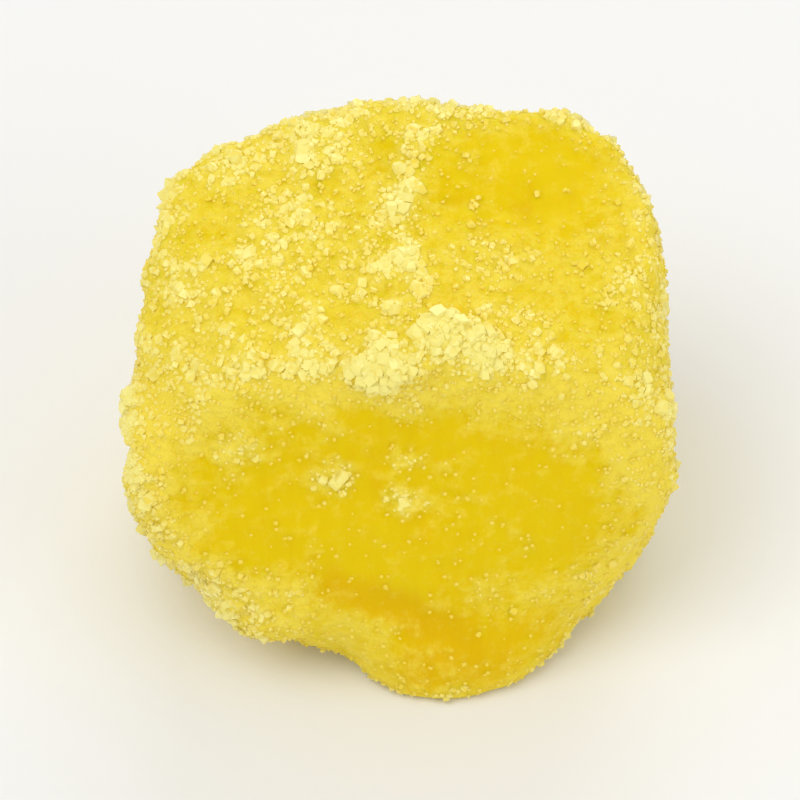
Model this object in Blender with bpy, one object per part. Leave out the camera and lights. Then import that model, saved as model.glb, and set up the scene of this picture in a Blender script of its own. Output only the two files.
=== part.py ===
"""One chunk of candied, dried pineapple: a rounded block of fruit in a crust of sugar.

Metres, +Z up. The chunk rests on a flat foot at z = 0, with its smooth cut end to the front (-Y).
"""

import math
import random

import bmesh
import bpy
from mathutils import Matrix, Vector, noise

MM = 0.001

# Overall size of the chunk
WIDTH = 22.0 * MM
DEPTH = 19.6 * MM
HEIGHT = 17.2 * MM

# Half sizes, measured from the middle of the block
SIDE = WIDTH / 2
END = DEPTH / 2
RISE = HEIGHT / 2
MIDDLE = Vector((0.0, 0.0, RISE))

# Cells across one side of the block, how often they are evened out on the surface, and how
# crisp the edges between the cuts are
CELLS_ACROSS = 27
EVENING_ROUNDS = 8
EDGE_SHARPNESS = 15.0

# Uneven fruit, and the finer sugar crust on it: the length of a bump and its height
LUMP_LENGTH = 7.0 * MM
LUMP_HEIGHT = 0.35 * MM
CRUST_LENGTH = 1.9 * MM
CRUST_HEIGHT = 0.40 * MM
BARE_SMOOTHNESS = 0.85

# Sugar gathered on the edges of the cut end
CREST_HEIGHT = 0.30 * MM
RIM_HEIGHT = 0.35 * MM

# A low wandering ridge of sugar from the back of the top to the crest
STREAK_X = 0.9 * MM
STREAK_SWING = 0.045
STREAK_TURN_Y = 2.0 * MM
STREAK_WIDTH = 0.9 * MM
STREAK_HEIGHT = 0.35 * MM

# Clumps of sugar grains: a few placed by hand, the others scattered over the crust
SCATTERED_CLUMPS = 12
SMALLEST_CLUMP = 0.40 * MM
LARGEST_CLUMP = 0.70 * MM
CLUMP_SHAPE = (1.35, 1.00, 0.45)
CLUMP_ROUGHNESS = 0.60
CLUMP_GRAIN = 1.0
LOWEST_CLUMP = 1.5 * MM
SEED = 7

# Corners closer than this are one corner
SAME_PLACE = 0.005 * MM

FRUIT_COLOUR = (0.80, 0.56, 0.020, 1.0)
FRUIT_ROUGHNESS = 0.50


def heading(azimuth, rise):
    """Unit vector out of the chunk: azimuth 0 is the front, 90 the right; rise is up from level."""
    turn = math.radians(azimuth)
    lift = math.radians(rise)
    level = math.cos(lift)
    return Vector((math.sin(turn) * level, -math.cos(turn) * level, math.sin(lift)))


def knife_cuts():
    """The faces that the knife left, each as its outward heading and its distance from the middle."""
    return {
        "top": (heading(20, 87), 0.97 * RISE),
        "top left": (heading(300, 50), 1.05 * SIDE),
        "top right": (heading(55, 48), 1.10 * SIDE),
        "front": (heading(2, 17), 0.77 * END),
        "tongue": (heading(16, 2), 0.95 * END),
        "left": (heading(263, 2), 0.94 * SIDE),
        "right": (heading(93, -1), 1.00 * SIDE),
        "back": (heading(174, 6), 0.97 * END),
        "back left": (heading(207, 8), 1.00 * END),
        "back right": (heading(136, 8), 1.18 * SIDE),
        "lower left": (heading(303, -27), 1.04 * SIDE),
        "lower front": (heading(324, -36), 1.00 * SIDE),
        "lower right": (heading(57, -27), 1.16 * SIDE),
        "foot": (heading(0, -90), 1.03 * RISE),
    }


def hand_marks():
    """Swells and hollows of this chunk's own outline: heading, spread in degrees, and height."""
    return (
        # the thick sugar in the middle of the crest
        (heading(16, 56), 13, 0.30 * MM),
        # the tongue of fruit at the foot of the cut end, and the crease above it
        (heading(20, -38), 15, 0.80 * MM),
        (heading(2, -22), 6, -0.30 * MM),
        (heading(12, -27), 6, -0.30 * MM),
        # the bite between the tongue and the lobe to its left
        (heading(345, -31), 7, -0.70 * MM),
        (heading(326, -28), 8, 0.50 * MM),
        # the full right flank, and the nick below it
        (heading(62, 2), 10, 0.30 * MM),
        (heading(60, -14), 5, -0.35 * MM),
        (heading(78, 18), 17, 0.45 * MM),
        # the back edge of the top, square at both ends, and the flank drawn in below its right end
        (heading(144, 38), 13, 1.00 * MM),
        (heading(205, 40), 16, 0.45 * MM),
        (heading(232, 29), 12, 0.40 * MM),
        (heading(115, 22), 12, -1.00 * MM),
        (heading(99, 6), 9, 0.45 * MM),
        # the left flank drawn in low down, and the foot of the cut end on both sides of the tongue
        (heading(286, -14), 11, -0.45 * MM),
        (heading(343, -42), 9, -0.50 * MM),
        (heading(50, -31), 9, -0.40 * MM),
        # a knob high on the left rim
        (heading(293, 20), 7, 0.35 * MM),
        # the bare patch sunk in the top, behind the streak
        (heading(112, 60), 14, -0.35 * MM),
    )


def placed_clumps():
    """Clumps that stand out on the crest and the outline: heading and radius."""
    return (
        (heading(347, 53), 0.55 * MM),
        (heading(354, 55), 0.70 * MM),
        (heading(4, 56), 0.60 * MM),
        (heading(14, 58), 0.75 * MM),
        (heading(25, 59), 0.80 * MM),
        (heading(35, 56), 0.75 * MM),
        (heading(43, 51), 0.60 * MM),
        (heading(48, 44), 0.50 * MM),
        (heading(312, 44), 0.50 * MM),
        (heading(328, 50), 0.45 * MM),
        (heading(64, -5), 0.50 * MM),
        (heading(62, 6), 0.42 * MM),
        (heading(318, -22), 0.45 * MM),
        (heading(293, 22), 0.50 * MM),
        (heading(300, 8), 0.42 * MM),
        (heading(88, 36), 0.42 * MM),
        (heading(330, -30), 0.45 * MM),
    )


CUTS = knife_cuts()
MARKS = hand_marks()


def cut_shares(out):
    """How much of each cut there is along a heading, and the distance to the rounded surface."""
    pulls = {name: max(0.0, out.dot(face) / reach) ** EDGE_SHARPNESS for name, (face, reach) in CUTS.items()}
    total = sum(pulls.values())
    shares = {name: pull / total for name, pull in pulls.items()}
    return shares, total ** (-1.0 / EDGE_SHARPNESS)


def edge_between(shares, one, other):
    """One on the edge where two cuts meet, falling to nothing on either face."""
    return 4.0 * shares[one] * shares[other]


def bare_fruit(shares):
    """One in the middle of the cut end, where no sugar hides the fruit, and nothing on the crust."""
    return max(0.0, min(1.0, 1.8 * (shares["front"] + shares["tongue"]) - 0.7))


def rims(shares, point):
    """Sugar heaped on the edges round the cut end, in uneven lengths."""
    uneven = 0.7 + 0.6 * noise.noise(point / CRUST_LENGTH)
    crest = CREST_HEIGHT * edge_between(shares, "top", "front")
    crest += CREST_HEIGHT * edge_between(shares, "top left", "front")
    crest += CREST_HEIGHT * edge_between(shares, "top right", "front")
    rim = RIM_HEIGHT * edge_between(shares, "front", "left")
    rim += RIM_HEIGHT * edge_between(shares, "front", "lower left")
    rim += RIM_HEIGHT * edge_between(shares, "front", "lower right")
    rim += RIM_HEIGHT * edge_between(shares, "front", "right")
    return uneven * (crest + rim)


def streak(shares, point):
    """The low ridge that wanders over the top: straight near the crest, bent left at the back."""
    behind = max(0.0, point.y - STREAK_TURN_Y)
    line_x = STREAK_X - behind * behind * STREAK_SWING / MM
    across = (point.x - line_x) / STREAK_WIDTH
    return STREAK_HEIGHT * shares["top"] * math.exp(-across * across)


def marks(out):
    """The sum of the swells and hollows at a heading."""
    height = 0.0
    for centre, spread, mark_height in MARKS:
        away = math.degrees(out.angle(centre)) / spread
        height += mark_height * math.exp(-away * away)
    return height


def relief(out, shares, point):
    """Height of the surface over the plain rounded cuts."""
    lump = LUMP_HEIGHT * noise.fractal(point / LUMP_LENGTH, 1.0, 2.0, 3)
    crust = CRUST_HEIGHT * noise.fractal(point / CRUST_LENGTH, 0.8, 2.0, 2)
    crust *= 1.0 - BARE_SMOOTHNESS * bare_fruit(shares)
    return lump + crust + rims(shares, point) + streak(shares, point) + marks(out)


def surface_point(out):
    """The place on the chunk's surface that lies along a heading from the middle."""
    shares, reach = cut_shares(out)
    point = MIDDLE + out * reach
    return point + out * relief(out, shares, point)


def block_grid():
    """A cube with every side divided into a grid, stretched to the block's proportions."""
    mesh = bmesh.new()
    bmesh.ops.create_cube(mesh, size=2.0)
    bmesh.ops.subdivide_edges(mesh, edges=mesh.edges[:], cuts=CELLS_ACROSS - 1, use_grid_fill=True)
    bmesh.ops.scale(mesh, verts=mesh.verts, vec=(SIDE, END, RISE))
    bmesh.ops.translate(mesh, verts=mesh.verts, vec=MIDDLE)
    return mesh


def fruit_body():
    """The block of fruit: a grid laid on the surface and evened out, with a foot flat at z = 0."""
    mesh = block_grid()
    for vert in mesh.verts:
        vert.co = surface_point((vert.co - MIDDLE).normalized())
    for _ in range(EVENING_ROUNDS):
        bmesh.ops.smooth_vert(
            mesh, verts=mesh.verts, factor=0.5, use_axis_x=True, use_axis_y=True, use_axis_z=True
        )
        for vert in mesh.verts:
            vert.co = surface_point((vert.co - MIDDLE).normalized())
    for vert in mesh.verts:
        vert.co.z = max(0.0, vert.co.z)
    return mesh


def sugar_clump(out, radius, draw):
    """A rough, low scab of sugar grains, sunk partly into the surface along a heading."""
    mesh = bmesh.new()
    bmesh.ops.create_icosphere(mesh, subdivisions=2, radius=radius)
    shift = Vector((draw.random(), draw.random(), draw.random())) * 100.0
    spin = Matrix.Rotation(draw.uniform(0.0, math.tau), 3, "Z")
    stand = out.to_track_quat("Z", "Y").to_matrix()
    for vert in mesh.verts:
        rough = 1.0 + CLUMP_ROUGHNESS * noise.noise(vert.co / (radius * CLUMP_GRAIN) + shift)
        squat = vert.co * rough * Vector(CLUMP_SHAPE)
        vert.co = stand @ spin @ squat
    bmesh.ops.translate(mesh, verts=mesh.verts, vec=surface_point(out))
    return mesh


def scattered_clumps(draw):
    """Headings and radii of clumps spread at random over the crust, thickest on the left and the top."""
    found = []
    while len(found) < SCATTERED_CLUMPS:
        out = Vector((draw.gauss(0, 1), draw.gauss(0, 1), draw.gauss(0, 1))).normalized()
        radius = draw.uniform(SMALLEST_CLUMP, LARGEST_CLUMP)
        sugar = (1.0 - bare_fruit(cut_shares(out)[0])) * (0.55 - 0.25 * out.x + 0.30 * out.z)
        if surface_point(out).z > LOWEST_CLUMP and draw.random() < sugar:
            found.append((out, radius))
    return found


def solid(name, mesh, material):
    """An object made of a finished mesh, in the scene."""
    data = bpy.data.meshes.new(name)
    mesh.to_mesh(data)
    mesh.free()
    data.materials.append(material)
    made = bpy.data.objects.new(name, data)
    bpy.context.scene.collection.objects.link(made)
    return made


def fuse(chunk, clumps):
    """Joins every clump to the fruit in one union, so that the chunk is one closed solid."""
    crust = bpy.data.collections.new("sugar_clumps")
    for clump in clumps:
        crust.objects.link(clump)
    union = chunk.modifiers.new("sugar_crust", "BOOLEAN")
    union.operation = "UNION"
    union.operand_type = "COLLECTION"
    union.collection = crust
    union.solver = "EXACT"
    bpy.context.view_layer.objects.active = chunk
    bpy.ops.object.modifier_apply(modifier=union.name)
    for clump in clumps:
        bpy.data.objects.remove(clump, do_unlink=True)
    bpy.data.collections.remove(crust)


def tidy(chunk):
    """Clears needle faces that the union left, and divides every face into triangles."""
    mesh = bmesh.new()
    mesh.from_mesh(chunk.data)
    bmesh.ops.remove_doubles(mesh, verts=mesh.verts, dist=SAME_PLACE)
    bmesh.ops.dissolve_degenerate(mesh, dist=SAME_PLACE, edges=mesh.edges)
    bmesh.ops.triangulate(mesh, faces=mesh.faces[:])
    mesh.to_mesh(chunk.data)
    mesh.free()


def fit_to_size(chunk):
    """Brings the chunk to its overall size, with the middle of its foot at the origin."""
    corners = [vert.co for vert in chunk.data.vertices]
    low = Vector([min(corner[axis] for corner in corners) for axis in range(3)])
    high = Vector([max(corner[axis] for corner in corners) for axis in range(3)])
    span = high - low
    foot = Vector(((low.x + high.x) / 2, (low.y + high.y) / 2, low.z))
    for vert in chunk.data.vertices:
        away = vert.co - foot
        vert.co = (away.x * WIDTH / span.x, away.y * DEPTH / span.y, away.z * HEIGHT / span.z)


def fruit_material():
    """Candied pineapple: bright yellow, between glossy and dull."""
    material = bpy.data.materials.new("candied_pineapple")
    material.use_nodes = True
    shader = material.node_tree.nodes["Principled BSDF"]
    shader.inputs["Base Color"].default_value = FRUIT_COLOUR
    shader.inputs["Roughness"].default_value = FRUIT_ROUGHNESS
    shader.inputs["Metallic"].default_value = 0.0
    return material


def main():
    """Empties the scene and builds the chunk."""
    for old in list(bpy.data.objects):
        bpy.data.objects.remove(old, do_unlink=True)
    material = fruit_material()
    chunk = solid("pineapple_chunk", fruit_body(), material)
    draw = random.Random(SEED)
    clumps = []
    for out, radius in placed_clumps() + tuple(scattered_clumps(draw)):
        clumps.append(solid("sugar_clump", sugar_clump(out, radius, draw), material))
    fuse(chunk, clumps)
    tidy(chunk)
    fit_to_size(chunk)
    chunk.data.shade_smooth()


main()
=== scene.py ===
# %% [markdown]
# # A chunk of candied pineapple
#
# This lesson dresses one chunk of candied pineapple. The real thing is a block of fruit that was soaked
# in syrup until it turned clear and deep yellow, then rolled in sugar. Three things make it look like
# itself: the soft glow of light inside the fruit, the frosting where fine sugar has melted on, and the
# thousands of single grains that stand on the surface and catch the light. Each gets a step of its own.
#
# The plain solid of the chunk comes first. Everything later is measured from it, so the dressed chunk
# has the same size and stands on the same foot.

# %% Load the plain chunk
import math
import random

import bmesh
import bpy
import numpy as np
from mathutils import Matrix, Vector, noise


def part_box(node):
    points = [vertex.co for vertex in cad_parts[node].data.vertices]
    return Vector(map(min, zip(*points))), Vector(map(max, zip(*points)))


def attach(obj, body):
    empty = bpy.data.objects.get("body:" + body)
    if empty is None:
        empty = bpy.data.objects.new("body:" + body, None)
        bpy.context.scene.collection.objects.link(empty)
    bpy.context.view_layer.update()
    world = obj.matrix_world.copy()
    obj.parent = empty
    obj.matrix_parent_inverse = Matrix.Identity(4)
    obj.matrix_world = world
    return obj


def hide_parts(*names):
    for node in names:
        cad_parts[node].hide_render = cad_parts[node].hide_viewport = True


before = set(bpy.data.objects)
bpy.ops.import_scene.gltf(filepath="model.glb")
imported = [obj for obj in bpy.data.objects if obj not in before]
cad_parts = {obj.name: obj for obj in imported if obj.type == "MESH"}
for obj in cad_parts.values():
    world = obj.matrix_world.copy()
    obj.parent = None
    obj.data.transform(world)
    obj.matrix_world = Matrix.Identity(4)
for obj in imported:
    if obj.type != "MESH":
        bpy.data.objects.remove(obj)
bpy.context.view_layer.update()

# %% [markdown]
# ## Sizes
#
# Blender works in metres and the chunk is 22 mm wide, so one name for a millimetre keeps the numbers
# readable. The chunk's box gives its middle and its half sizes, from which the later steps find out
# which side of the chunk a point is on.

# %% Sizes and the middle of the chunk
MM = 0.001
CHUNK = "pineapple_chunk"
LOWEST, HIGHEST = (np.array(corner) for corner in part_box(CHUNK))
MIDDLE = (LOWEST + HIGHEST) / 2
HALF = (HIGHEST - LOWEST) / 2
print("half sizes in mm:", np.round(HALF / MM, 2))

# %% [markdown]
# ## Finer cells for the fruit
#
# The plain solid has flat facets half a millimetre wide, which would show as a cut gem close up. A
# Subdivision Surface would round them, but it follows the long thin faces round each lump of sugar. A
# voxel Remesh lays even cells over the same shape instead, which later steps can push in and out
# equally well everywhere. The plain mesh itself is only copied and never changed.

# %% A copy of the chunk with even cells
FINE_CELL = 0.172 * MM


def in_scene(thing):
    """Links a new object to the scene and hands it back."""
    bpy.context.scene.collection.objects.link(thing)
    return thing


def finished_mesh(thing):
    """The object's mesh with its modifiers applied."""
    depsgraph = bpy.context.evaluated_depsgraph_get()
    return bpy.data.meshes.new_from_object(thing.evaluated_get(depsgraph))


def fine_copy(name):
    """A copy of the plain chunk with even cells."""
    copy = in_scene(bpy.data.objects.new(name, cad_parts[CHUNK].data.copy()))
    weld = copy.modifiers.new("close_seams", "WELD")
    weld.merge_threshold = 0.001 * MM
    cells = copy.modifiers.new("even_cells", "REMESH")
    cells.mode = "VOXEL"
    cells.voxel_size = FINE_CELL
    mesh = finished_mesh(copy)
    copy.modifiers.clear()
    copy.data = mesh
    mesh.name = name
    mesh.materials.clear()
    return copy


fruit = fine_copy("candied_fruit")
print("the fruit has", len(fruit.data.vertices), "points")

# %% [markdown]
# ## Reading and moving points
#
# Blender hands over a whole mesh's points as one array, and numpy works on all of them at once. Relaxing
# means that each point moves halfway to the mean of its neighbours. A few rounds melt the facets away,
# and many rounds leave only the broad shape, which is handy for finding the edges of the block.

# %% Points as arrays, and relaxing
FACET_ROUNDS = 10


def read_points(mesh, what="co"):
    """The places of a mesh's points, or their normals, one row each."""
    flat = np.empty(3 * len(mesh.vertices), dtype=np.float32)
    mesh.vertices.foreach_get(what, flat)
    return flat.reshape(-1, 3).astype(float)


def write_points(mesh, points):
    """Moves a mesh's points to new places."""
    mesh.vertices.foreach_set("co", points.astype(np.float32).ravel())
    mesh.update()


def read_edges(mesh):
    """The two points of every edge, one row each."""
    flat = np.empty(2 * len(mesh.edges), dtype=np.int32)
    mesh.edges.foreach_get("vertices", flat)
    return flat.reshape(-1, 2)


def relaxed(values, edges, rounds):
    """Rows of values, one for each point, evened out with those of the neighbours."""
    count = len(values)
    one, other = edges.T
    neighbours = np.bincount(one, minlength=count) + np.bincount(other, minlength=count)
    for _ in range(rounds):
        sums = [
            np.bincount(one, column[other], count) + np.bincount(other, column[one], count)
            for column in values.T
        ]
        values = (values + np.stack(sums, axis=1) / neighbours[:, None]) / 2
    return values


edges = read_edges(fruit.data)
cell_points = read_points(fruit.data)
smooth_points = relaxed(cell_points, edges, FACET_ROUNDS)
smooth_points[:, 2] = np.maximum(smooth_points[:, 2], 0.0)
write_points(fruit.data, smooth_points)
moved = np.linalg.norm(smooth_points - cell_points, axis=1) / MM
print("melting the facets moved points by up to", round(float(moved.max()), 2), "mm")

# %% [markdown]
# ## Broad shape, edges and hollows
#
# Sugar gathers on the edges of a chunk, which dig in deepest when it is rolled in the sugar, and the hollows
# get painted shade. Comparing the surface with a much more relaxed copy of itself shows both: a point that
# stands out from the relaxed copy is on an edge, and one that lies inside it is in a hollow.

# %% How far each point stands out
EDGE_ROUNDS = 160
NORMAL_ROUNDS = 60

out = relaxed(read_points(fruit.data, "normal"), edges, NORMAL_ROUNDS)
out /= np.linalg.norm(out, axis=1)[:, None]
broad_points = relaxed(smooth_points, edges, EDGE_ROUNDS)
stands_out = ((smooth_points - broad_points) * out).sum(axis=1) / MM
deepest, furthest = (round(float(value), 2) for value in (stands_out.min(), stands_out.max()))
print("points stand out by", deepest, "to", furthest, "mm")

# %% [markdown]
# ## Where the sugar lies
#
# The sugar is uneven, and its places are what makes this one chunk: a clear lens on the cut end with a
# clear tongue at its foot, a clear patch on the right of the top, a white streak over the top, thick
# white sugar along the crest between the two sides, and a pale haze below that. Soft shapes placed one
# by one draw those, clouds of noise break everything up, and the edges of the block get more than its
# flats. A painted mask would do too, but shapes in code can be read and moved.
#
# Two numbers for each point come out of it. The film says how much fine sugar has melted on, and the
# frost says how many grains stand on it, from 0 for bare fruit to 1 for a thick crust. Each starts from
# an even share, and every place above adds its own or takes it off. On the back, the underside and the
# parts of the flanks that face well sideways, a wide cloud leaves a few more places clear. The relief,
# the colours and the grains all follow the two.

# %% Tools for placing sugar
WIDE_SIZE = 6.5 * MM
UNEVEN_SIZE = 2.3 * MM
SPOT_SIZE = 0.9 * MM
GRAIN_SIZE = 0.42 * MM


def soft_step(low, high, value):
    """0 below low and 1 above high, with a soft change between them."""
    share = np.clip((value - low) / (high - low), 0.0, 1.0)
    return share * share * (3.0 - 2.0 * share)


def cloud(points, size, shift):
    """Smooth noise from about -1 to 1 on every point. The shift makes each cloud different."""
    move = Vector((shift, 2.0 * shift, 3.0 * shift))
    return np.array([noise.noise(Vector(point) / size + move) for point in points])


def patch(points, place, reach):
    """1 at a place and falling softly away from it. Place and reach are in mm along x, y and z."""
    away = (points / MM - np.array(place)) / np.array(reach)
    return np.exp(-(away**2).sum(axis=1))


def streak(flat_points, stops, reach):
    """1 along a line through the stops, in mm, and falling softly away from it."""
    flat = flat_points / MM
    nearest = np.full(len(flat), np.inf)
    for start, end in zip(stops, stops[1:]):
        start = np.array(start)
        along = np.array(end) - start
        share = np.clip((flat - start) @ along / (along @ along), 0.0, 1.0)
        nearest = np.minimum(nearest, np.linalg.norm(flat - start - share[:, None] * along, axis=1))
    return np.exp(-((nearest / reach) ** 2))


uneven = cloud(smooth_points, UNEVEN_SIZE, 1.0)
spotty = cloud(smooth_points, SPOT_SIZE, 2.0)
grainy = cloud(smooth_points, GRAIN_SIZE, 3.0)
wide = cloud(smooth_points, WIDE_SIZE, 4.0)
print("the uneven cloud runs from", round(float(uneven.min()), 2), "to", round(float(uneven.max()), 2))

# %% Bare fruit on the cut end and on the top
LENS_PLACE = (0.1, -7.8, 9.8)
LENS_REACH = (9.0, 4.0, 4.7)
LENS_SLOPE = 0.08
CREASE_STOPS = ((-2.4, 6.0), (-0.2, 4.9), (0.6, 4.2), (2.2, 3.7))
CREASE_REACH = 0.9
FLANK_SLANT = 0.35


def bare_lens(points):
    """1 on the clear part of the cut end, which is a wide lens with soft edges, higher on the left."""
    away = points / MM - np.array(LENS_PLACE)
    away[:, 2] += LENS_SLOPE * away[:, 0]
    distance = np.linalg.norm(away / np.array(LENS_REACH), axis=1) + 0.13 * uneven + 0.10 * spotty
    return soft_step(1.16, 0.74, distance)


lens = bare_lens(smooth_points)
tongue = patch(smooth_points, (3.0, -8.3, 2.2), (3.6, 3.0, 2.6))
top_clearing = patch(smooth_points, (4.6, 3.5, 16.6), (4.5, 3.3, 3.0))
top_clearing += 0.5 * patch(smooth_points, (-3.0, 2.9, 16.7), (0.8, 0.7, 1.5))
top_clearing += 0.5 * patch(smooth_points, (-0.7, 5.0, 16.9), (0.6, 0.9, 1.5))
top_clearing = soft_step(0.10, 0.80, top_clearing + 0.10 * uneven + 0.10 * spotty)
upright = soft_step(0.55, 0.90, out[:, 2])
facing_us = soft_step(0.35, 0.80, -out[:, 1])
turned_away = np.maximum.reduce([out[:, 1], -out[:, 2], np.abs(out[:, 0]) - FLANK_SLANT])
unseen = soft_step(0.2, 0.6, turned_away)
# The crease is a real groove in the relief, and its colour is also painted shade: it loses its film and
# frost and gets the deeper flesh.
crease_and_shade = facing_us * streak(smooth_points[:, ::2], CREASE_STOPS, CREASE_REACH)
print("bare share of the surface:", round(float(lens.mean() + top_clearing.mean()), 3))

# %% Thick sugar on the streak and the crest
STREAK_STOPS = ((1.7, 6.8), (0.7, 5.3), (0.1, 2.4), (-0.2, 0.8), (0.4, -0.6), (0.1, -3.0))
STREAK_REACH = 0.75

gaps = np.clip(0.75 + 0.8 * spotty + 0.5 * uneven, 0.0, 1.1)
top_streak = 0.8 * upright * gaps * streak(smooth_points[:, :2], STREAK_STOPS, STREAK_REACH)
top_streak += 0.6 * patch(smooth_points, (0.4, -0.5, 16.6), (0.9, 0.8, 1.0))
top_streak += 0.3 * patch(smooth_points, (0.1, 2.3, 16.8), (0.8, 0.9, 1.0))
crest = patch(smooth_points, (-0.7, -5.9, 16.1), (1.1, 1.0, 1.2))
crest += patch(smooth_points, (1.4, -4.8, 16.7), (0.9, 0.8, 1.2))
crest += patch(smooth_points, (3.2, -5.2, 16.1), (1.3, 0.9, 1.2))
crest += 0.20 * patch(smooth_points, (-5.0, -5.8, 16.0), (2.6, 1.2, 1.4))
crest += 0.3 * patch(smooth_points, (5.8, -5.8, 15.6), (1.6, 1.0, 1.2))
crest -= 0.4 * patch(smooth_points, (0.3, -5.0, 16.8), (0.5, 0.8, 1.2))
crest = np.clip(crest, 0.0, 1.1)
print("thickest crest sugar:", round(float(crest.max()), 2))

# %% Thinner sugar on the top, below the crest and on the rims
HAZE_STOPS = ((-9.7, 13.4), (-7.8, 15.1), (-4.5, 15.6), (3.5, 15.2), (6.5, 14.5), (9.5, 13.2))
HAZE_REACH = 1.3

below_crest = patch(smooth_points, (-0.6, -6.6, 14.3), (2.2, 1.6, 1.2))
haze = soft_step(0.0, 0.5, -out[:, 1]) * streak(smooth_points[:, ::2], HAZE_STOPS, HAZE_REACH)
top_left = patch(smooth_points, (-4.3, 1.3, 16.6), (1.8, 1.1, 2.0))
top_left += 0.6 * patch(smooth_points, (-5.8, -0.8, 16.5), (1.3, 1.2, 2.0))
top_left += 0.8 * patch(smooth_points, (-3.9, 5.0, 16.7), (1.6, 1.4, 2.0))
top_left += 0.7 * patch(smooth_points, (-1.8, 6.4, 16.6), (1.1, 1.0, 2.0))
top_right = patch(smooth_points, (4.3, 0.1, 16.1), (1.3, 0.9, 1.5))
quiet_side = patch(smooth_points, (6.8, -1.0, 15.4), (3.6, 4.4, 3.5))
left_rim = patch(smooth_points, (-9.6, -6.9, 11.0), (2.4, 2.4, 4.8))
low_rim = patch(smooth_points, (-7.0, -8.4, 4.9), (2.6, 2.0, 2.0))
right_rim = patch(smooth_points, (10.2, -6.2, 8.6), (1.8, 3.0, 5.5))
tongue_edge = patch(smooth_points, (-1.0, -9.3, 2.3), (1.5, 1.5, 1.1))
dots = patch(smooth_points, (-6.4, -7.0, 12.4), (1.4, 1.4, 0.9))
dots += patch(smooth_points, (0.3, -7.6, 10.0), (1.0, 1.4, 0.7))
dots += 0.8 * patch(smooth_points, (0.4, -7.2, 11.7), (0.9, 1.4, 0.5))
dots += 0.9 * patch(smooth_points, (-2.6, -7.3, 11.0), (1.0, 1.4, 1.0))
dots = soft_step(0.02, 0.85, dots + 0.14 * spotty + 0.16 * grainy)
edge_sugar = soft_step(0.05, 0.40, stands_out)
print("share of the surface on the edges:", round(float(edge_sugar.mean()), 2))

# %% The film on every point
clear_behind = unseen * soft_step(0.05, 0.50, wide + 0.20 * uneven + 0.16 * spotty)
calm = 1.0 - 0.5 * haze
film = 0.60 + calm * (0.20 * uneven + 0.30 * spotty) + 0.20 * grainy + 0.15 * edge_sugar
film += 0.5 * crest + 0.4 * top_streak + 0.3 * top_left + 0.2 * top_right
film += 0.35 * below_crest + 0.24 * haze + 0.20 * tongue_edge
film += 0.40 * left_rim + 0.25 * low_rim + 0.35 * right_rim
film -= 0.50 * top_clearing + 0.10 * quiet_side
film -= 0.55 * tongue + 0.50 * clear_behind + 0.4 * crease_and_shade
film_on_lens = 0.08 + 0.24 * spotty + 0.10 * uneven + 0.20 * grainy + 0.65 * dots - 0.3 * crease_and_shade
film = np.clip(film * (1.0 - lens) + film_on_lens * lens, 0.0, 1.0)
print("mean film:", round(float(film.mean()), 2))

# %% The frost on every point, and the hollows that get painted shade
in_front = facing_us * soft_step(0.75, 0.45, out[:, 2])
frost = 0.36 + calm * (0.34 * uneven + 0.34 * spotty) + 0.24 * edge_sugar - 0.24 * in_front
frost += 0.75 * crest + 0.55 * top_streak + 0.40 * top_left + 0.25 * top_right
frost += 0.10 * haze + 0.20 * low_rim
frost -= 0.06 * upright + 0.20 * quiet_side + 0.40 * top_clearing
frost -= 0.25 * tongue + 0.40 * clear_behind + 0.4 * crease_and_shade
frost = np.clip(frost * (1.0 - 0.96 * lens) + 0.60 * dots * lens, 0.0, 1.2)
# Painted shade: the hollows, the crease and the tongue are marked here to get a deeper, darker flesh,
# standing in for the shade that falls there.
hollow_shade = np.maximum.reduce([soft_step(0.02, 0.30, -stands_out), 0.8 * tongue, crease_and_shade])
print("mean frost:", round(float(frost.mean()), 2))

# %% [markdown]
# ## Relief of the crust
#
# Melted-on sugar is rough at several sizes at once: broad scabs, grains half sunk in syrup, and fine
# grit. A Displace modifier could raise noise, but it would be as strong on the bare fruit as on the
# crust. Moving the points in code lets the frost decide how rough each place is. The bare fruit keeps a
# soft ripple and the faint fibres that run through it. Near the foot the relief fades, so that the chunk
# stands as flat as the plain one does.

# %% Push the points in and out
SCAB_SIZE = 1.25 * MM
SCAB_HEIGHT = 0.14 * MM
GRAIN_HEIGHT = 0.08 * MM
SUNK_GRAIN_SIZE = 0.55 * MM
SUNK_GRAIN_HEIGHT = 0.10 * MM
RIPPLE_HEIGHT = 0.035 * MM
FIBRE_HEIGHT = 0.035 * MM
FIBRE_WIDTH = 0.42 * MM
FIBRE_STRETCH = (1.0, 0.25, 0.16)
CREST_HEIGHT = 0.34 * MM
CREASE_DEPTH = 0.16 * MM
FOOT_FADE = 0.9 * MM


def pebbles(points, size):
    """Rounded bumps packed side by side, each about one size across: 1 on top and below 0 between."""
    nearest = np.array([noise.voronoi(Vector(point) / size)[0][0] for point in points])
    return 1.0 - 1.8 * nearest


scab_noise = cloud(smooth_points, SCAB_SIZE, 5.0)
sunk_grains = pebbles(smooth_points, SUNK_GRAIN_SIZE)
fibres = cloud(smooth_points * np.array(FIBRE_STRETCH), FIBRE_WIDTH, 7.0)
scabs = (1.0 - np.abs(scab_noise) * 2.2).clip(-0.6, 1.0)
crusted = np.clip(0.5 * film + 0.6 * frost, 0.0, 1.1)
relief = crusted * (SCAB_HEIGHT * scabs + GRAIN_HEIGHT * grainy + SUNK_GRAIN_HEIGHT * sunk_grains)
relief += (1.1 - crusted) * (RIPPLE_HEIGHT * spotty + FIBRE_HEIGHT * fibres)
relief += CREST_HEIGHT * crest - CREASE_DEPTH * crease_and_shade
relief *= soft_step(0.0, FOOT_FADE, smooth_points[:, 2])
rough_points = smooth_points + out * relief[:, None]
rough_points[:, 2] = np.maximum(rough_points[:, 2], 0.0)
write_points(fruit.data, rough_points)
fruit.data.shade_smooth()
print("relief from", round(relief.min() / MM, 3), "to", round(relief.max() / MM, 3), "mm")

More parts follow.
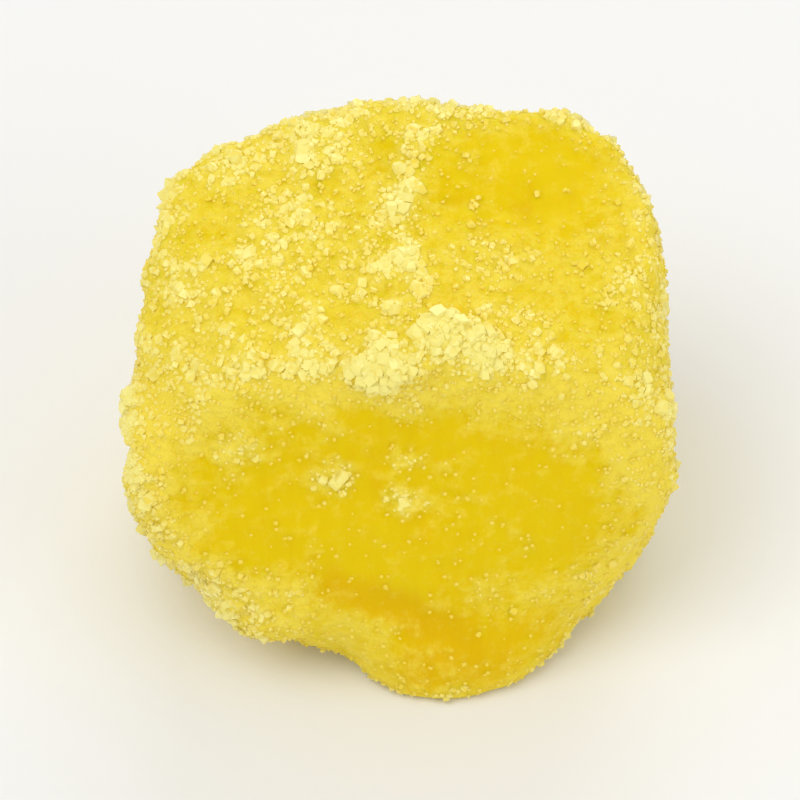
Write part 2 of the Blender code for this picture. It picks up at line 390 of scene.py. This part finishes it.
# %% [markdown]
# ## Handing film and frost to the material
#
# A mesh can carry a number on each point under a name, and a material can read it there. This is how the
# colours will know where the sugar is. The mesh also gets a flat map of itself: the six sides of a box
# laid out in a sheet of three by two. The material doesn't need it, but a model that leaves Blender
# takes its colours along as a picture, and a tidy map keeps that picture sharp.

# %% Store film, frost and hollows, and lay out the map
MAP_NAME = "OFBake"
SHEET = np.array([3, 2])
CELL_SHARE = 0.94


def store(mesh, name, values):
    """Keeps one number for each point on the mesh under a name."""
    attribute = mesh.attributes.new(name, "FLOAT", "POINT")
    attribute.data.foreach_set("value", values.astype(np.float32))


def lay_out_box_map(mesh, points):
    """Maps every face to the side of the box that it is nearest to."""
    corners = np.empty(len(mesh.loops), dtype=np.int32)
    mesh.loops.foreach_get("vertex_index", corners)
    counts = np.empty(len(mesh.polygons), dtype=np.int32)
    mesh.polygons.foreach_get("loop_total", counts)
    centres = np.empty(3 * len(mesh.polygons), dtype=np.float32)
    mesh.polygons.foreach_get("center", centres)
    centres = (centres.reshape(-1, 3) - MIDDLE) / HALF
    axis = np.abs(centres).argmax(axis=1)
    positive = centres[np.arange(len(axis)), axis] > 0
    cell = np.repeat(axis + 3 * positive, counts)
    axis = np.repeat(axis, counts)
    rays = (points[corners] - MIDDLE) / HALF
    rows = np.arange(len(rays))
    depth = np.abs(rays[rows, axis])
    across = rays[rows, (axis + 1) % 3] / depth
    up = rays[rows, (axis + 2) % 3] / depth
    place = np.stack([across, up], axis=1) * CELL_SHARE / 2 + 0.5
    corner = np.stack([cell % 3, cell // 3], axis=1)
    uv = (corner + place) / SHEET
    mesh.uv_layers.new(name=MAP_NAME).data.foreach_set("uv", uv.astype(np.float32).ravel())


store(fruit.data, "film", film)
store(fruit.data, "frost", frost)
store(fruit.data, "hollow_shade", hollow_shade)
lay_out_box_map(fruit.data, rough_points)
print("map laid out for", len(fruit.data.polygons), "faces")

# %% [markdown]
# ## Shader maths as plain expressions
#
# A material is a graph of nodes, and a long one is hard to read as code. Wrapping a socket in a small
# class lets the graph be written as sums: `specks + dust * 0.4` adds the Math nodes by itself. Colours
# are mixed with a Mix node, because a Math node would turn them grey.

# %% A socket that can be added and multiplied
class Value:
    """The output of a node, with the sums that Math nodes can do."""

    def __init__(self, finish, socket):
        self.finish = finish
        self.socket = socket

    def sum_of(self, operation, one, other):
        """A Math node on two values."""
        return self.finish.node("ShaderNodeMath", {"operation": operation}, {0: one, 1: other})

    def __add__(self, other):
        return self.sum_of("ADD", self, other)

    def __radd__(self, other):
        return self.sum_of("ADD", other, self)

    def __sub__(self, other):
        return self.sum_of("SUBTRACT", self, other)

    def __rsub__(self, other):
        return self.sum_of("SUBTRACT", other, self)

    def __mul__(self, other):
        return self.sum_of("MULTIPLY", self, other)

    def __rmul__(self, other):
        return self.sum_of("MULTIPLY", other, self)


print("sums on sockets are ready")

# %% A material written with them
MIX_SHARE, MIX_ONE, MIX_OTHER, MIX_RESULT = 0, 6, 7, 2


class Finish:
    """A new material with one Principled shader."""

    def __init__(self, name):
        self.material = bpy.data.materials.new(name)
        self.material.use_nodes = True
        self.tree = self.material.node_tree
        self.shader = self.tree.nodes["Principled BSDF"]

    def set(self, socket, value):
        """Gives a socket a fixed value, or links another node's output to it."""
        if isinstance(value, Value):
            self.tree.links.new(value.socket, socket)
        else:
            socket.default_value = value

    def node(self, kind, settings, sockets, output=0):
        """Adds a node, with its settings first and then its sockets."""
        made = self.tree.nodes.new(kind)
        for name, setting in settings.items():
            setattr(made, name, setting)
        for name, value in sockets.items():
            self.set(made.inputs[name], value)
        return Value(self, made.outputs[output])

    def look(self, **sockets):
        """Sets the shader's own sockets, written with underscores for spaces."""
        for name, value in sockets.items():
            self.set(self.shader.inputs[name.replace("_", " ")], value)

    def cover(self, share, **sockets):
        """Lays a second Principled shader over the first. The share says where it covers."""
        blend = self.tree.nodes.new("ShaderNodeMixShader")
        over = self.tree.nodes.new("ShaderNodeBsdfPrincipled")
        self.set(blend.inputs["Fac"], share)
        self.tree.links.new(self.shader.outputs["BSDF"], blend.inputs[1])
        self.tree.links.new(over.outputs["BSDF"], blend.inputs[2])
        self.tree.links.new(blend.outputs["Shader"], self.tree.nodes["Material Output"].inputs["Surface"])
        self.shader = over
        self.look(**sockets)

    def place(self):
        """Where a point is on the object."""
        return self.node("ShaderNodeTexCoord", {}, {}, "Object")

    def stored(self, name):
        """A number that the mesh carries."""
        return self.node("ShaderNodeAttribute", {"attribute_name": name}, {}, "Fac")

    def noise(self, size, detail=2.0, roughness=0.5, stretch=(1.0, 1.0, 1.0)):
        """Noise from 0 to 1 whose spots are about one size across, or longer where stretch is small."""
        place = self.node("ShaderNodeVectorMath", {"operation": "MULTIPLY"}, {0: self.place(), 1: stretch})
        sockets = {"Vector": place, "Scale": 1.0 / size, "Detail": detail, "Roughness": roughness}
        return self.node("ShaderNodeTexNoise", {}, sockets, "Fac")

    def pebbles(self, size):
        """Rounded bumps packed side by side, each about one size across: 1 on top, 0 between."""
        settings = {"feature": "SMOOTH_F1"}
        sockets = {"Vector": self.place(), "Scale": 1.0 / size, "Smoothness": 0.4}
        return 1 - self.node("ShaderNodeTexVoronoi", settings, sockets, "Distance")

    def soft_step(self, low, high, value):
        """0 below low and 1 above high, with a soft change between them."""
        sockets = {"Value": value, "From Min": low, "From Max": high}
        return self.node("ShaderNodeMapRange", {"interpolation_type": "SMOOTHSTEP"}, sockets)

    def mix(self, share, one, other):
        """One colour at share 0, the other at share 1."""
        sockets = {MIX_SHARE: share, MIX_ONE: one, MIX_OTHER: other}
        return self.node("ShaderNodeMix", {"data_type": "RGBA"}, sockets, MIX_RESULT)

    def bump(self, height, depth):
        """A normal for small relief. Depth is the relief's real height in metres."""
        return self.node("ShaderNodeBump", {}, {"Height": height, "Distance": depth}, "Normal")


print("materials can be written as expressions")

# %% [markdown]
# ## The fruit's finish
#
# Syrup makes the fruit clear, so light goes in, wanders through the yellow flesh and comes out again
# some way off. Subsurface scattering does just that. Its radius is longest for red and very short for
# blue, and that is why the thin edges glow and the thick middle stays deep yellow. The flesh is deeper
# along its fibres, and it is painted deeper and darker in the hollows, on the crease and on the tongue,
# as painted shade.
#
# The frosting over it is paler, duller and broken into specks. Light hardly enters it, so one shader
# with a mixed colour would make it glow like the fruit. A second plain shader is laid over the first
# instead, and the film says where it covers.

# %% Candied fruit under its frosting
FRUIT_YELLOW = (0.83, 0.61, 0.004, 1.0)
FRUIT_DEEP_AND_SHADE = (0.80, 0.52, 0.003, 1.0)
FROST_THIN = (0.92, 0.73, 0.070, 1.0)
FROST_THICK = (0.97, 0.87, 0.25, 1.0)
BLOTCH_SIZE = 3.0 * MM
SPECK_SIZE = 0.45 * MM
PEBBLE_SIZE = 0.24 * MM
DUST_SIZE = 0.12 * MM
FINE_RELIEF = 0.07 * MM
GLOW_REACH = 0.7 * MM
GLOW_OF_RED_GREEN_BLUE = (1.0, 0.60, 0.08)


def fruit_finish():
    """Clear yellow fruit with sugar frosting where the mesh says so, and painted shade in its hollows."""
    finish = Finish("candied_fruit")
    blotches = finish.noise(BLOTCH_SIZE)
    specks = finish.noise(SPECK_SIZE, detail=3.0, roughness=0.6)
    dust = finish.noise(DUST_SIZE)
    grains = finish.pebbles(PEBBLE_SIZE)
    fibres = finish.noise(FIBRE_WIDTH, stretch=FIBRE_STRETCH)
    # Painted shade: the flesh turns deeper and darker in the hollows, the crease and the tongue, along with
    # its real blotches and fibres.
    deep_and_shade = finish.soft_step(0.45, 0.95, blotches * 0.6 + finish.stored("hollow_shade") * 0.5 + fibres * 0.4)
    flesh = finish.mix(deep_and_shade, FRUIT_YELLOW, FRUIT_DEEP_AND_SHADE)
    broken = (specks - 0.5) * 1.3 + (dust - 0.5) * 0.4 + (grains - 0.5) * 0.2
    cover = finish.soft_step(0.0, 1.0, finish.stored("film") + broken)
    crust = finish.soft_step(0.45, 1.15, finish.stored("frost") + broken)
    frosting = finish.mix(crust, FROST_THIN, FROST_THICK)
    rough = cover * (grains * 0.8 + specks * 0.5 + dust * 0.4)
    bare = fibres * 0.5 + specks * 0.12 + dust * 0.06
    relief = finish.bump(rough + (1 - cover) * bare, FINE_RELIEF)
    finish.look(
        Base_Color=flesh,
        Roughness=0.38,
        Normal=relief,
        Subsurface_Weight=1.0,
        Subsurface_Radius=GLOW_OF_RED_GREEN_BLUE,
        Subsurface_Scale=GLOW_REACH,
        Specular_IOR_Level=0.05,
        IOR=1.45,
    )
    finish.cover(
        cover,
        Base_Color=frosting,
        Roughness=0.6,
        Normal=relief,
        Specular_IOR_Level=0.15,
        IOR=1.45,
    )
    return finish.material


fruit.data.materials.append(fruit_finish())
print("fruit finish:", fruit.data.materials[0].name)

# %% [markdown]
# ## Grains of sugar
#
# A grain of sugar is a small block with corners broken or dissolved off. Cutting a cube with a few
# tilted planes gives just that, with flat faces that glint. A few such shapes, turned every way and
# stretched a little, are enough for thousands of grains.

# %% Shapes of grains
SHAPE_SEED = 11
SHAPES_OF_A_KIND = 7
WHOLE_CUTS = 6
BROKEN_CUTS = 2
GRIT_CUTS = 1
CUT_DEPTHS = (0.62, 0.80)


def grain_shape(cuts, draw):
    """A unit block with tilted cuts through its corners and edges: its points and its triangles."""
    block = bmesh.new()
    bmesh.ops.create_cube(block, size=1.0)
    for _ in range(cuts):
        facing = Vector((draw.gauss(0, 1), draw.gauss(0, 1), draw.gauss(0, 1))).normalized()
        corner_reach = sum(abs(part) for part in facing) / 2
        place = facing * corner_reach * draw.uniform(*CUT_DEPTHS)
        everything = block.verts[:] + block.edges[:] + block.faces[:]
        cut = bmesh.ops.bisect_plane(
            block, geom=everything, plane_co=place, plane_no=facing, clear_outer=True
        )
        rim = [part for part in cut["geom_cut"] if isinstance(part, bmesh.types.BMEdge)]
        bmesh.ops.contextual_create(block, geom=rim)
    bmesh.ops.triangulate(block, faces=block.faces[:])
    points = np.array([vert.co[:] for vert in block.verts])
    faces = np.array([[vert.index for vert in face.verts] for face in block.faces])
    block.free()
    return points, faces


shape_draw = random.Random(SHAPE_SEED)
whole_shapes = [grain_shape(WHOLE_CUTS, shape_draw) for _ in range(SHAPES_OF_A_KIND)]
broken_shapes = [grain_shape(BROKEN_CUTS, shape_draw) for _ in range(SHAPES_OF_A_KIND)]
grit_shapes = [grain_shape(GRIT_CUTS, shape_draw) for _ in range(SHAPES_OF_A_KIND)]
print("triangles in the whole grains:", [len(faces) for _, faces in whole_shapes])
print("triangles in the grit:", [len(faces) for _, faces in grit_shapes])

# %% [markdown]
# ## Strewing the grains
#
# A particle system would strew grains too, but its copies can't be exported as they are. Picking random
# places on the mesh in code is just as quick. Each face's chance is its area times how much sugar lies
# there, so the grains crowd where the frost is thick. All grains of one kind become a single mesh, and
# each grain sits in its own small square of that mesh's map. The shading of the facets is turned partly
# outward, because a clear grain is lit through and through and has no really dark side.

# %% Random places on the fruit
def places_on(mesh, chance, count, draw):
    """Places, normals and the nearest point's number, likelier where the chance is high."""
    mesh.calc_loop_triangles()
    triangles = np.empty(3 * len(mesh.loop_triangles), dtype=np.int32)
    mesh.loop_triangles.foreach_get("vertices", triangles)
    triangles = triangles.reshape(-1, 3)
    points = read_points(mesh)
    one, two, three = (points[triangles[:, corner]] for corner in range(3))
    crossed = np.cross(two - one, three - one)
    weight = np.linalg.norm(crossed, axis=1) * chance[triangles].mean(axis=1)
    picked = draw.choice(len(triangles), count, p=weight / weight.sum())
    share = draw.dirichlet((1.0, 1.0, 1.0), count)
    places = (points[triangles[picked]] * share[:, :, None]).sum(axis=1)
    nearest = triangles[picked, 0]
    return places, out[nearest], nearest


def random_turns(count, draw):
    """Rotation matrices that turn every way alike."""
    w, x, y, z = draw.normal(size=(4, count))
    length = np.sqrt(w * w + x * x + y * y + z * z)
    w, x, y, z = w / length, x / length, y / length, z / length
    rows = [
        [1 - 2 * (y * y + z * z), 2 * (x * y - w * z), 2 * (x * z + w * y)],
        [2 * (x * y + w * z), 1 - 2 * (x * x + z * z), 2 * (y * z - w * x)],
        [2 * (x * z - w * y), 2 * (y * z + w * x), 1 - 2 * (x * x + y * y)],
    ]
    return np.moveaxis(np.array(rows), 2, 0)


print("grains can be placed")

# %% Softer shading for clear grains
SOFTNESS = 0.5
NEARLY_NOTHING = 1e-12


def unit_rows(rows):
    """Every row scaled to a length of one."""
    return rows / (np.linalg.norm(rows, axis=1)[:, None] + NEARLY_NOTHING)


def soften_shading(mesh, faces, outward):
    """Turns every facet's shading partly outward."""
    points = read_points(mesh)
    one, two, three = (points[faces[:, corner]] for corner in range(3))
    facing = np.repeat(unit_rows(np.cross(two - one, three - one)), 3, axis=0)
    soft = unit_rows(SOFTNESS * outward[faces.ravel()] + (1 - SOFTNESS) * facing)
    mesh.normals_split_custom_set(soft.tolist())


print("facets are shaded", SOFTNESS, "of the way outward")

# %% Many grains in one mesh
STRETCH_RANGE = (0.75, 1.25)
SQUARE_SHARE = 0.7


def grain_mesh(name, shapes, places, normals, sizes, crusts, draw):
    """A mesh with one grain at every place, and a map with a small square for each grain."""
    count = len(places)
    turns = random_turns(count, draw)
    stretch = sizes[:, None] * draw.uniform(*STRETCH_RANGE, (count, 3))
    kinds = draw.integers(len(shapes), size=count)
    squares = math.ceil(math.sqrt(count))
    used = 0
    rows = {"points": [], "faces": [], "map": [], "frost": [], "rise": [], "outward": []}
    for kind, (shape_points, shape_faces) in enumerate(shapes):
        members = np.flatnonzero(kinds == kind)
        stretched = shape_points[None] * stretch[members][:, None]
        turned = np.einsum("nij,nkj->nki", turns[members], stretched)
        rows["points"].append((turned + places[members][:, None]).reshape(-1, 3))
        first = used + len(shape_points) * np.arange(len(members))
        rows["faces"].append((shape_faces[None] + first[:, None, None]).reshape(-1, 3))
        square = np.stack([members % squares, members // squares], axis=1)
        inside = 0.5 + SQUARE_SHARE * shape_points[None, :, :2]
        rows["map"].append(((square[:, None] + inside) / squares).reshape(-1, 2))
        rows["frost"].append(np.repeat(crusts[members], len(shape_points)))
        # How high each point stands in its grain. The finish paints the fruit's yellow light at the foot
        # from it.
        rise = np.einsum("nki,ni->nk", turned, normals[members]) / sizes[members][:, None]
        rows["rise"].append(rise.ravel() + 0.5)
        rows["outward"].append(np.repeat(normals[members], len(shape_points), axis=0))
        used += len(shape_points) * len(members)
    joined = {what: np.concatenate(parts) for what, parts in rows.items()}
    joined["points"][:, 2] = np.maximum(joined["points"][:, 2], 0.0)
    mesh = bpy.data.meshes.new(name)
    mesh.from_pydata(joined["points"].tolist(), [], joined["faces"].tolist())
    uv = joined["map"][joined["faces"].ravel()]
    mesh.uv_layers.new(name=MAP_NAME).data.foreach_set("uv", uv.astype(np.float32).ravel())
    store(mesh, "frost", joined["frost"])
    store(mesh, "rise", joined["rise"])
    soften_shading(mesh, joined["faces"], joined["outward"])
    return mesh


print("the shapes are stretched by", STRETCH_RANGE[0], "to", STRETCH_RANGE[1])

# %% Strewing a whole kind
LOWEST_GRAIN = 0.25 * MM


def strew(name, shapes, count, chance, size_range, lift, draw):
    """A new object with grains on the fruit. Lift is how far they stand out, as a share of their size."""
    places, normals, nearest = places_on(fruit.data, chance, count, draw)
    sizes = draw.uniform(*size_range, count)
    places = places + normals * (sizes * draw.uniform(*lift, count))[:, None]
    kept = places[:, 2] > LOWEST_GRAIN
    mesh = grain_mesh(name, shapes, places[kept], normals[kept], sizes[kept], frost[nearest][kept], draw)
    return in_scene(bpy.data.objects.new(name, mesh))


print("grains lie at least", LOWEST_GRAIN / MM, "mm above the foot")

# %% [markdown]
# ## Three kinds of sugar
#
# The sugar on such a chunk has three sizes: whole grains up to half a millimetre, broken ones about half
# as large, and grit that is hardly more than dust. The whole grains keep to the thick crust and the
# edges. The grit is nearly everywhere, and only a little of it strays onto the bare fruit. On the crest
# the sugar has run together into lumps, so fewer loose grains lie there than its frost would ask for.

# %% Strew them over the crust
GRAIN_SEED = 20
WHOLE_GRAINS = 850
BROKEN_GRAINS = 4800
GRIT_GRAINS = 11000
WHOLE_SIZES = (0.26 * MM, 0.46 * MM)
BROKEN_SIZES = (0.13 * MM, 0.24 * MM)
GRIT_SIZES = (0.06 * MM, 0.13 * MM)
WHOLE_LIFT = (-0.30, 0.10)
BROKEN_LIFT = (-0.20, 0.20)
GRIT_LIFT = (-0.10, 0.30)

grain_draw = np.random.default_rng(GRAIN_SEED)
off_the_foot = soft_step(-0.85, -0.6, out[:, 2])
loose = (1.0 - 0.6 * np.clip(crest, 0.0, 1.0)) * (1.0 - 0.7 * lens)
whole_chance = off_the_foot * loose * np.clip(frost - 0.40, 0.002, 1.0) ** 1.4
broken_chance = off_the_foot * loose * np.clip(frost - 0.10, 0.006, 1.0) ** 1.2
grit_chance = off_the_foot * np.clip(0.5 * frost + 0.5 * film, 0.03, 1.0)
whole_sugar = strew(
    "whole_sugar_grains", whole_shapes, WHOLE_GRAINS, whole_chance, WHOLE_SIZES, WHOLE_LIFT, grain_draw
)
broken_sugar = strew(
    "broken_sugar_grains", broken_shapes, BROKEN_GRAINS, broken_chance, BROKEN_SIZES, BROKEN_LIFT, grain_draw
)
sugar_grit = strew("sugar_grit", grit_shapes, GRIT_GRAINS, grit_chance, GRIT_SIZES, GRIT_LIFT, grain_draw)
for piece in (whole_sugar, broken_sugar, sugar_grit):
    print(piece.name, "has", len(piece.data.polygons), "triangles")

# %% [markdown]
# ## The sugar's finish
#
# Sugar is clear, but a small grain bends the light so much that it looks pale, with the yellow of the
# fruit showing near its foot. Clear glass would need many bounces of light, and thousands of grains on
# top of each other would turn dark. So that yellow light is painted in: a plain pale colour that deepens
# from the top of each grain to its foot gives the same look at once. Each grain also gets its own tint,
# because on the real crust some are soaked with syrup and some are dry.

# %% Pale grains, with painted yellow light at the foot
SUGAR_DRY = (0.99, 0.88, 0.25, 1.0)
SUGAR_SOAKED_AND_FOOT_LIGHT = (0.93, 0.70, 0.04, 1.0)
WHOLE_ROUGHNESS = 0.12
BROKEN_ROUGHNESS = 0.20
GRIT_ROUGHNESS = 0.45


def sugar_finish(name, roughness):
    """Pale clear sugar, each grain with its own tint and with painted yellow light at its foot."""
    finish = Finish(name)
    own = finish.node("ShaderNodeNewGeometry", {}, {}, "Random Per Island")
    dry = finish.soft_step(0.2, 1.2, finish.stored("frost") + own * 0.6)
    # Painted light: each grain is pale at its top and takes the yellow of the fruit's light at its foot.
    top = finish.soft_step(0.1, 0.9, finish.stored("rise"))
    finish.look(
        Base_Color=finish.mix(dry * (top * 0.75 + 0.25), SUGAR_SOAKED_AND_FOOT_LIGHT, SUGAR_DRY),
        Roughness=roughness,
        Specular_IOR_Level=0.5,
        IOR=1.45,
    )
    return finish.material


whole_sugar.data.materials.append(sugar_finish("sugar_grains", WHOLE_ROUGHNESS))
broken_sugar.data.materials.append(sugar_finish("sugar_chips", BROKEN_ROUGHNESS))
sugar_grit.data.materials.append(sugar_finish("sugar_dust", GRIT_ROUGHNESS))
for piece in (whole_sugar, broken_sugar, sugar_grit):
    print(piece.name, "is finished as", piece.data.materials[0].name)

# %% [markdown]
# ## Floor, light and camera
#
# Small yellow sweets look best on plain white with soft light, because hard light turns their glow into
# glare, and yellow looks olive as soon as it lies in shade. A pale world gives most of the light here.
# One large lamp up on the left adds some shape, and weaker ones on the right and behind keep the other
# sides from going dull. They stand nearly a metre away, much further than such a small thing needs, so
# that the floor far behind it is lit as well. The camera looks down at 48 degrees with a long lens,
# which keeps the sides of the chunk from leaning.

# %% A pale floor
FLOOR_REACH = 4.0
FLOOR_CELLS = 12
FLOOR_CLOUDS = 60 * MM
FLOOR_DARKER = (0.86, 0.86, 0.85, 1.0)
FLOOR_LIGHTER = (0.90, 0.90, 0.89, 1.0)


def make_floor():
    """A wide flat sheet under the chunk."""
    sheet = bmesh.new()
    bmesh.ops.create_grid(sheet, x_segments=FLOOR_CELLS, y_segments=FLOOR_CELLS, size=FLOOR_REACH)
    mesh = bpy.data.meshes.new("floor")
    sheet.to_mesh(mesh)
    sheet.free()
    finish = Finish("pale_floor")
    finish.look(
        Base_Color=finish.mix(finish.noise(FLOOR_CLOUDS), FLOOR_DARKER, FLOOR_LIGHTER),
        Roughness=0.8,
        Specular_IOR_Level=0.2,
    )
    mesh.materials.append(finish.material)
    return in_scene(bpy.data.objects.new("floor", mesh))


floor = make_floor()
print("the floor is", 2 * FLOOR_REACH, "m wide")

# %% Lamps and world
KEY_PLACE = (-0.30, -0.24, 0.76)
KEY_SIZE = 0.52
KEY_POWER = 2.3
FILL_PLACE = (0.68, -0.44, 0.40)
FILL_SIZE = 0.60
FILL_POWER = 1.35
BACK_PLACE = (0.12, 0.72, 0.44)
BACK_SIZE = 0.60
BACK_POWER = 1.75
WORLD_LIGHT = 0.64


def soft_lamp(name, place, size, power):
    """A square lamp that faces the chunk."""
    data = bpy.data.lights.new(name, "AREA")
    data.shape = "SQUARE"
    data.size = size
    data.energy = power
    lamp = in_scene(bpy.data.objects.new(name, data))
    lamp.location = place
    lamp.rotation_euler = (Vector(MIDDLE) - lamp.location).to_track_quat("-Z", "Y").to_euler()
    return lamp


def pale_world(strength):
    """Even light from everywhere."""
    world = bpy.data.worlds.new("pale_world")
    world.use_nodes = True
    background = world.node_tree.nodes["Background"]
    background.inputs["Color"].default_value = (1.0, 1.0, 1.0, 1.0)
    background.inputs["Strength"].default_value = strength
    bpy.context.scene.world = world


soft_lamp("key_light", KEY_PLACE, KEY_SIZE, KEY_POWER)
soft_lamp("fill_light", FILL_PLACE, FILL_SIZE, FILL_POWER)
soft_lamp("back_light", BACK_PLACE, BACK_SIZE, BACK_POWER)
pale_world(WORLD_LIGHT)
bpy.context.scene.view_settings.view_transform = "Standard"
print("three soft lamps and a pale world")

# %% The camera
LOOK_DOWN = math.radians(48)
FOCAL_LENGTH = 250.0
SENSOR = 36.0
CHUNK_SHARE = 0.68


def make_camera():
    """A long lens that looks down on the cut end, with the chunk filling most of the frame."""
    data = bpy.data.cameras.new("camera")
    data.lens = FOCAL_LENGTH
    data.sensor_width = SENSOR
    camera = in_scene(bpy.data.objects.new("camera", data))
    distance = 2 * HALF[0] / CHUNK_SHARE * FOCAL_LENGTH / SENSOR
    back = Vector((0.0, -math.cos(LOOK_DOWN), math.sin(LOOK_DOWN)))
    upward = Vector((0.0, math.sin(LOOK_DOWN), math.cos(LOOK_DOWN)))
    heights = rough_points @ np.array(upward)
    off_middle = (heights.min() + heights.max()) / 2 - Vector(MIDDLE).dot(upward)
    target = Vector(MIDDLE) + upward * off_middle
    camera.location = target + back * distance
    camera.rotation_euler = (-back).to_track_quat("-Z", "Y").to_euler()
    bpy.context.scene.camera = camera
    return camera


camera = make_camera()
print("the camera stands", round(camera.location.length, 3), "m from the chunk's foot")

# %% [markdown]
# ## Putting it together
#
# The new pieces now take the plain chunk's place. They ride on its body, so they go wherever it goes,
# and the plain solid stays underneath only as the shape that a physics engine bumps into.

# %% Ride, replace and finish
for piece in (fruit, whole_sugar, broken_sugar, sugar_grit):
    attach(piece, "root")
    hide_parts(CHUNK)
